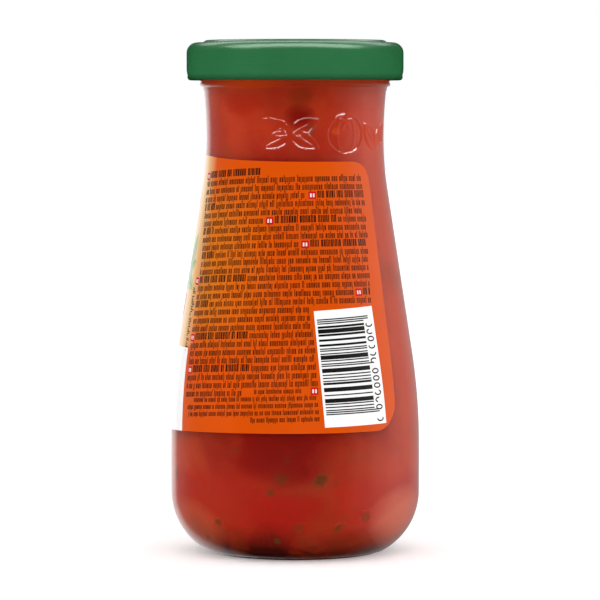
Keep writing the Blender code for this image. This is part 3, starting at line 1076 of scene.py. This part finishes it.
def add_text_row(prints, row, tag):
    """A row of the small print, perhaps with room for a tag and bold words after it."""
    height = (TEXT_TOP - ROW_STEP * row - LETTER_HEIGHT / 2) * MM
    room = in_degrees(TAG_ROOM * MM / body_radius(height))
    if row < 0:
        add_row(prints, tag + room, TITLE_RIGHT, height, bold=True)
        return
    left, right = text_ends(row)
    if row in BOLD_START:
        left = add_row(prints, left, left + BOLD_START_WIDTH, height, bold=True) + 1.0
    if tag is None:
        add_row(prints, left, right, height)
        return
    if tag - left > 2 * room:
        add_row(prints, left, tag - room, height)
    after = add_row(prints, tag + room, min(right, tag + room + BOLD_AFTER_TAG), height, bold=True)
    add_row(prints, after + 0.8, right, height)


def add_margin(prints, start):
    """A column of ticks up the label's edge."""
    for row in range(MARGIN_ROWS):
        height = (MARGIN_LOW + MARGIN_STEP * row) * MM
        left = radians(start) + dice.choice(MARGIN_LEFTS) * MM / body_radius(height)
        right = left + dice.choice(MARGIN_WIDTHS) * MM / body_radius(height)
        if dice.random() > MARGIN_GAPS:
            add_box(prints, left, right, height, height + MARGIN_TICK * MM)


def make_text():
    """The panel of small print, the rows of smaller print under it and the ticks at the side."""
    prints = Prints(1)
    tags = dict(TAGS)
    for row in range(-1, FULL_ROWS + SHORT_ROWS):
        add_text_row(prints, row, tags.get(row))
    for row, (left, right) in enumerate(SMALL_ENDS):
        add_row(prints, left, right, (SMALL_TOP - SMALL_STEP * row - SMALL_DROP) * MM, SMALL_SCALE)
    for start in MARGIN_STARTS:
        add_margin(prints, start)
    return prints.piece("label_text", "dark_ink", INK, INK_SHADE)


def rounded_outline(angle, height, half_wide, half_tall, corner, steps=3):
    """Anticlockwise outline of a rounded box round a place on the label."""
    radius = body_radius(height)
    outline = []
    for quarter, (side, up) in enumerate(((1, -1), (1, 1), (-1, 1), (-1, -1))):
        for step in range(steps + 1):
            turn = radians(-90 + quarter * 90 + 90 * step / steps)
            across = side * (half_wide - corner) + corner * cos(turn)
            rise = up * (half_tall - corner) + corner * sin(turn)
            outline.append((angle + across / radius, height + rise))
    return outline


def make_tags():
    """Small red tags, each with two plain white marks."""
    red, marks = Prints(2), Prints(3)
    places = [(TEXT_TOP - ROW_STEP * row, degrees) for row, degrees in TAGS] + [(SMALL_TOP, SMALL_TAG)]
    for height, degrees in places:
        angle = radians(degrees)
        level = on_row(angle, height * MM)
        half_tall = TAG_HALF * TAG_SQUASH * MM
        red.fan((angle, level), rounded_outline(angle, level, TAG_HALF * MM, half_tall, TAG_CORNER * MM))
        radius = body_radius(level)
        for side in (-1, 1):
            left = angle + (side * MARK_OFFSET - MARK_HALF_WIDTH) * MM / radius
            right = left + 2 * MARK_HALF_WIDTH * MM / radius
            marks.box(left, right, level - MARK_HALF_HEIGHT * MM, level + MARK_HALF_HEIGHT * MM)
    red.piece("label_tags", "red_ink", (0.62, 0.006, 0.012))
    marks.piece("label_tag_marks", "tag_white", (0.85, 0.8, 0.78))


# Bar panel: its corners, as angles in degrees and heights in mm, and shares across and up it
PANEL_CORNERS = ((13.6, 40.9), (46.1, 41.4), (9.5, 75.2), (42.9, 76.3))
PANEL_WHITE = (0.99, 0.99, 0.99)
BLACK = (0.012, 0.012, 0.012)
BAR_SEED = 14
BAR_LEFT = 0.035
BAR_RIGHT = 0.80
BAR_LOW = 0.105
BAR_HIGH = 0.925
BAR_STEPS = 95
BAR_SPREAD = 0.2
BAR_WIDTHS = (1, 1, 1, 2, 2, 4)
BAR_GAPS = (1, 2, 2, 3)
GUARDS = (0, 46, 92)
GUARD_STEPS = 3
GUARD_RIGHT = 0.89
RING_COUNT = 13
RING_ACROSS = 0.892
RING_FIRST = 0.045
RING_SECOND = 0.145
RING_UP = 0.0615
RING_BREAK = 0.028
RING_SHARES = (1.0, 1.0, 0.72, 0.6, 0.5)
RING_SIZE = (1.3 * MM, 0.84 * MM)
RING_LINE = 0.4 * MM
RING_SIDES = 24


def panel_place(across, up):
    """A place on the bar panel from its shares across and up."""
    low = between(PANEL_CORNERS[0], PANEL_CORNERS[1], across)
    high = between(PANEL_CORNERS[2], PANEL_CORNERS[3], across)
    degrees, height = between(low, high, up)
    return radians(degrees), height * MM


def panel_sheet(prints, left, right, low, high, columns, rows=2):
    """A part of the bar panel, between shares across and up."""
    places = []
    for row in range(rows):
        up = low + (high - low) * row / (rows - 1)
        for column in range(columns):
            places.append(panel_place(left + (right - left) * column / (columns - 1), up))
    prints.sheet(places, rows, columns)


def add_ring(prints, angle, height, start, share):
    """An oval ring lying on the label, or an open share of one from a start turn."""
    radius = body_radius(height)
    places = []
    for step in range(RING_SIDES + 1):
        turn = start + 2 * pi * share * step / RING_SIDES
        for reach in (0.0, RING_LINE):
            across = (RING_SIZE[0] - reach) * cos(turn)
            places.append((angle + across / radius, height + (RING_SIZE[1] - reach) * sin(turn)))
    for step in range(RING_SIDES):
        prints.sheet(places[2 * step:2 * step + 4][::-1], 2)


def make_bars():
    """A white panel with a ladder of plain bars and a row of rings where figures would stand."""
    white, bars = Prints(1), Prints(2)
    panel_sheet(white, 0.0, 1.0, 0.0, 1.0, 14, 20)
    white.piece("bar_panel", "panel_white", PANEL_WHITE, 0.99)
    own_dice = random.Random(BAR_SEED)
    rung = (BAR_HIGH - BAR_LOW) / BAR_STEPS
    position = 0
    while position < BAR_STEPS:
        near_guard = any(guard <= position < guard + GUARD_STEPS for guard in GUARDS)
        wide = 1 if near_guard else own_dice.choice(BAR_WIDTHS)
        wide = min(wide, BAR_STEPS - position)
        up = BAR_LOW + position * rung
        right = GUARD_RIGHT if near_guard else BAR_RIGHT
        panel_sheet(bars, BAR_LEFT, right, up, up + rung * (wide + BAR_SPREAD), 12)
        position += wide + (1 if near_guard else own_dice.choice(BAR_GAPS))
    for index in range(RING_COUNT):
        up = RING_SECOND + (index - 1) * RING_UP + (RING_BREAK if index > RING_COUNT // 2 else 0.0)
        if index == 0:
            up = RING_FIRST
        share = own_dice.choice(RING_SHARES)
        add_ring(bars, *panel_place(RING_ACROSS, up), own_dice.uniform(0.0, 6.0), share)
    bars.piece("bar_ladder", "black_ink", BLACK, INK_SHADE)


# Front of the label: a plain white band under a pale field with tomatoes and leaves round a blank plaque

FIELD_EDGE = (radians(-68.9), radians(-70.0))
FIELD_ROWS = 30
BAND_EDGE = (radians(-63.7), radians(-65.0))
BAND_ROWS = 16
FIELD_COLUMNS = 40
# Tomatoes and leaves: degrees from the front's middle, height and size in mm, and a leaf's turn in degrees
TOMATOES = ((-21.0, 80.0, 8.6), (3.0, 76.5, 7.6), (-10.0, 73.5, 6.2))
LEAVES = (
    (-31.0, 90.0, 12.0, 155.0),
    (-24.0, 96.5, 11.0, 120.0),
    (-12.0, 91.0, 10.0, 115.0),
    (2.0, 91.0, 11.5, 75.0),
    (17.0, 87.5, 14.0, 12.0),
    (21.0, 92.0, 12.5, 62.0),
    (20.0, 83.5, 12.5, -28.0),
)
LEAF_WIDTH = 0.45
RIB_REACH = 0.85
RIB_WIDTH = 0.45
PLAQUE_PLACE = (-8.0, 108.5)
PLAQUE_SIZE = (11.0, 6.2)
PLAQUE_RIM = 0.9
PLAQUE_SIDES = 90
RING_STEP = 0.9
# Parts of a printed tomato: name, print, colour, shade and level of ink; place to the left and up, half width
# and half height, all as shares of the tomato's size; sides and waviness
TOMATO_PARTS = (
    ("front_tomatoes", "tomato_print", (0.55, 0.018, 0.008), 0.8, 3, 0.0, 0.0, 1.0, 0.9, 36, 0.02),
    ("front_tomato_light", "tomato_light_print", (0.68, 0.035, 0.012), 0.8, 4, 0.0, -0.1, 0.72, 0.6, 36, 0),
    ("front_glints", "glint_print", (0.95, 0.62, 0.50), 0.93, 5, 0.35, 0.22, 0.2, 0.13, 20, 0.0),
    ("front_calyxes", "calyx_print", (0.10, 0.32, 0.05), 0.7, 5, 0.0, 0.62, 0.42, 0.3, 40, 0.5),
)


def front_field(prints, low, high, edge, rows):
    """A field across the front panel; edge has the angles of its right end at the bottom and the top."""
    places = []
    for row in range(rows):
        share = row / (rows - 1)
        right = edge[0] + (edge[1] - edge[0]) * share
        for column in range(FIELD_COLUMNS):
            angle = FRONT_LEFT + (right - FRONT_LEFT) * column / (FIELD_COLUMNS - 1)
            label_low, label_high = label_span(angle)
            bottom = low if low > LABEL_BOTTOM else label_low
            top = label_high if high >= LABEL_TOP else high
            places.append((angle, bottom + (top - bottom) * share))
    prints.sheet(places, rows, FIELD_COLUMNS)


def front_shape(prints, degrees, height, outline):
    """A shape on the front from its outline of (across, up) in mm round its middle."""
    rings = ceil(max(abs(across) for across, _ in outline) / RING_STEP)
    angle = FRONT_CENTRE + radians(degrees)
    radius = body_radius(height * MM)
    places = [(angle + across * MM / radius, (height + up) * MM) for across, up in outline]
    prints.fan((angle, height * MM), places, rings)


def oval(wide, tall, sides, wave=0.0, lobes=5):
    """Outline of an oval, which may have lobes."""
    outline = []
    for side in range(sides):
        turn = 2 * pi * side / sides
        reach = 1 + wave * cos(lobes * (turn - pi / 2))
        outline.append((wide * reach * cos(turn), tall * reach * sin(turn)))
    return outline


def leaf_outline(length, width, turn, steps=10):
    """Outline of a pointed leaf, turned from lying to the right."""
    shares = [step / steps for step in range(steps + 1)]
    edge = [(length * (share - 0.5), width / 2 * sin(pi * share)) for share in shares]
    edge = [(across, -up) for across, up in edge] + edge[-2:0:-1]
    cosine, sine = cos(turn), sin(turn)
    return [(across * cosine - up * sine, across * sine + up * cosine) for across, up in edge]


def make_leaves():
    """Printed leaves with their ribs."""
    leaves, ribs = Prints(2), Prints(3)
    for degrees, height, length, turn in LEAVES:
        turn = radians(turn)
        front_shape(leaves, degrees, height, leaf_outline(length, length * LEAF_WIDTH, turn))
        front_shape(ribs, degrees, height, leaf_outline(length * RIB_REACH, RIB_WIDTH, turn))
    leaves.piece("front_leaves", "leaf_print", (0.34, 0.52, 0.17), 0.55)
    ribs.piece("front_leaf_ribs", "rib_print", (0.10, 0.26, 0.07))


def make_front():
    """The front of the label."""
    field, band = Prints(1), Prints(1)
    front_field(field, BAND_TOP, LABEL_TOP, FIELD_EDGE, FIELD_ROWS)
    field.piece("front_field", "peach_print", PEACH, 0.96)
    front_field(band, LABEL_BOTTOM, BAND_TOP, BAND_EDGE, BAND_ROWS)
    band.piece("front_band", "white_print", (0.99, 0.99, 0.985), 0.98)
    make_leaves()
    for name, print_name, colour, shade, level, left, up, wide, tall, sides, wave in TOMATO_PARTS:
        prints = Prints(level)
        for degrees, height, size in TOMATOES:
            place = degrees - in_degrees(size * left * MM / body_radius(height * MM))
            front_shape(prints, place, height + size * up, oval(size * wide, size * tall, sides, wave))
        prints.piece(name, print_name, colour, shade)
    ring, face = Prints(2), Prints(3)
    front_shape(ring, *PLAQUE_PLACE, oval(*PLAQUE_SIZE, PLAQUE_SIDES))
    front_shape(face, *PLAQUE_PLACE, oval(*(half - PLAQUE_RIM for half in PLAQUE_SIZE), PLAQUE_SIDES))
    ring.piece("front_plaque_rim", "rim_print", (0.016, 0.15, 0.045))
    face.piece("front_plaque", "plaque_print", (0.93, 0.90, 0.80))


# Back of the label: rows of small print over a plain table

BACK_CENTRE = radians(-190.0)
BACK_HALF = radians(48.0)
BACK_ROWS = 9
BACK_BOLD_ROWS = (0, 5)
TABLE_HALF = radians(38.0)
TABLE_LOW = 48.0
TABLE_HIGH = 84.0
TABLE_ROWS = 9
TABLE_FACE_ROWS = 20
TABLE_STEP = radians(2.0)
RULE_HEIGHT = 0.2
TABLE_WORD_RISE = 1.1
# Ends of the words in each row of the table, in degrees from its middle
TABLE_WORDS = ((-35.0, -12.0), (6.0, 16.0), (24.0, 35.0))


def table_sheet(prints, heights):
    """A sheet across the table through rows at some heights in mm."""
    angles = [BACK_CENTRE + angle for angle in spaced(-TABLE_HALF, TABLE_HALF, TABLE_STEP)]
    places = [(angle, height * MM) for height in heights for angle in angles]
    prints.sheet(places, len(heights), len(angles))


def make_back():
    """The side of the label away from the front and the bar panel."""
    words, table, lines = Prints(3, BACK_CENTRE), Prints(1), Prints(2, BACK_CENTRE)
    for row in range(BACK_ROWS):
        height = (TEXT_TOP - ROW_STEP * row) * MM
        bold = row in BACK_BOLD_ROWS
        add_words(words, BACK_CENTRE - BACK_HALF, BACK_CENTRE + BACK_HALF, height, bold=bold)
    tall = TABLE_HIGH - TABLE_LOW
    table_sheet(table, [TABLE_LOW + tall * row / (TABLE_FACE_ROWS - 1) for row in range(TABLE_FACE_ROWS)])
    for row in range(TABLE_ROWS):
        height = TABLE_LOW + tall / TABLE_ROWS * row
        table_sheet(lines, (height, height + RULE_HEIGHT))
        for left, right in TABLE_WORDS:
            ends = (BACK_CENTRE + radians(left), BACK_CENTRE + radians(right))
            add_words(words, *ends, (height + TABLE_WORD_RISE) * MM)
    words.piece("back_text", "back_ink", INK, INK_SHADE)
    table.piece("back_table", "table_print", (0.93, 0.90, 0.84))
    lines.piece("back_table_lines", "line_print", (0.45, 0.10, 0.02))


# Studio

REFLECTOR_RADIUS = 1.3
REFLECTOR_LOW = -2.2
REFLECTOR_HIGH = 1.3
REFLECTOR_FADE = (-1.8, 0.0)
REFLECTOR_STRENGTH = 0.75
REFLECTOR_SIDES = 96
# Brightness of the reflector round the jar: azimuth in degrees from the camera's side, and share
REFLECTOR_STOPS = (
    (0, 0.0), (40, 0.0), (62, 0.3), (85, 0.8), (100, 1.0), (130, 0.65),
    (175, 0.55), (195, 1.6), (209, 1.6), (223, 0.45), (262, 0.1), (320, 0.0),
)
# Soft boxes: name, azimuth and elevation in degrees, distance, width and height in metres, and radiance
GLINTS = (
    ("glint_top", 0.0, 77.0, 1.0, 2.3, 0.7, 19.0),
    ("glint_back", 180.0, 45.0, 1.3, 2.6, 0.5, 4.0),
)
GLINT_AIM = Vector((0.0, 0.0, 0.08))
FLOOR_HALF = 6.0
FLOOR_GLOW = 0.2
WHITE = (1.0, 1.0, 1.0, 1.0)
ZENITH = 1.02


def make_floor():
    """A plain pale floor with a faint glow, so that it stays white under the jar."""
    look = new_look("floor")
    look.put("Base Color", look.mix(look.noise(40.0), (0.98, 0.98, 0.98), (0.99, 0.99, 0.99)))
    look.put("Roughness", 0.9)
    look.put("Specular IOR Level", 0.0)
    look.put("Emission Color", WHITE)
    look.put("Emission Strength", FLOOR_GLOW)
    half = FLOOR_HALF
    corners = [(-half, -half, 0.0), (half, -half, 0.0), (half, half, 0.0), (-half, half, 0.0)]
    floor = make_object("floor", corners, [(0, 1, 2, 3)], look.owner)
    floor.visible_glossy = False


def reflector_material():
    """Light that grows softly from one azimuth to the next and fades towards the ground."""
    look = new_look("reflector")
    look.tree.nodes.remove(look.shader)
    around = look.span(look.math("WRAP", look.angle(), 2 * pi, 0.0), 0.0, 2 * pi)
    ramp = look.tree.nodes.new("ShaderNodeValToRGB")
    ramp.color_ramp.interpolation = "EASE"
    elements = ramp.color_ramp.elements
    elements.remove(elements[1])
    brightest = max(level for _, level in REFLECTOR_STOPS)
    for azimuth, level in REFLECTOR_STOPS:
        element = elements[0] if azimuth == 0 else elements.new(azimuth / 360.0)
        share = level / brightest
        element.color = (share, share, share, 1.0)
    look.feed(ramp.inputs["Fac"], around)
    fade = look.span(look.axis("Z"), *REFLECTOR_FADE, 0.0, REFLECTOR_STRENGTH * brightest)
    glow = look.node("Emission", "Emission", Strength=fade, Color=ramp.outputs["Color"])
    look.feed(look.tree.nodes["Material Output"].inputs["Surface"], glow)
    return look.owner


def make_reflector():
    """A tall ring of soft light round the jar, seen only in reflections, and not in the lid."""
    points, faces = [], []
    for index in range(REFLECTOR_SIDES):
        angle = 2 * pi * index / REFLECTOR_SIDES
        across, back = REFLECTOR_RADIUS * sin(angle), -REFLECTOR_RADIUS * cos(angle)
        points += [(across, back, height) for height in (REFLECTOR_LOW, REFLECTOR_HIGH)]
        after = (index + 1) % REFLECTOR_SIDES
        faces.append((2 * index, 2 * index + 1, 2 * after + 1, 2 * after))
    ring = make_object("reflector", points, faces, reflector_material())
    ring.visible_camera = False
    ring.visible_diffuse = False
    ring.visible_transmission = False
    ring.visible_shadow = False
    kept_off = bpy.data.collections.new("kept_off")
    kept_off.objects.link(bpy.data.objects["lid_cap"])
    kept_off.collection_objects[0].light_linking.link_state = "EXCLUDE"
    ring.light_linking.receiver_collection = kept_off


def add_glint_light(name, azimuth, elevation, distance, wide, tall, radiance):
    """A soft box seen only in reflections; azimuth 0 is the camera's side and 90 is its right."""
    data = bpy.data.lights.new(name, "AREA")
    data.shape = "RECTANGLE"
    data.size = wide
    data.size_y = tall
    data.energy = radiance * pi * wide * tall
    light = link_object(name, data)
    turn, rise = radians(azimuth), radians(elevation)
    away = Vector((sin(turn) * cos(rise), -cos(turn) * cos(rise), sin(rise)))
    light.location = GLINT_AIM + away * distance
    light.rotation_euler = away.to_track_quat("Z", "Y").to_euler()
    light.visible_camera = False
    light.visible_diffuse = False
    light.visible_transmission = False


def make_world():
    """White surroundings, a touch brighter overhead, left out of reflections."""
    world = bpy.data.worlds.new("studio")
    bpy.context.scene.world = world
    look = Look(world, "Background")
    look.put("Color", WHITE)
    look.put("Strength", look.span(look.axis("Z", "Generated"), 0.0, 1.0, 1.0, ZENITH))
    world.cycles_visibility.glossy = False


def make_camera():
    """The photograph's view."""
    data = bpy.data.cameras.new("camera")
    data.sensor_width = SENSOR
    data.lens = LENS
    camera = link_object("camera", data)
    camera.location = (CAMERA_SIDE, -CAMERA_DISTANCE, CAMERA_HEIGHT)
    camera.rotation_euler = (pi / 2 - CAMERA_TILT, 0.0, 0.0)
    bpy.context.scene.camera = camera


def main():
    """Dress the jar."""
    make_camera()
    make_glass()
    make_sauce()
    make_herbs()
    make_lid()
    make_label()
    make_text()
    make_tags()
    make_bars()
    make_front()
    make_back()
    make_floor()
    make_reflector()
    make_world()
    for glint in GLINTS:
        add_glint_light(*glint)
    bpy.context.scene.view_settings.view_transform = "Standard"


main()
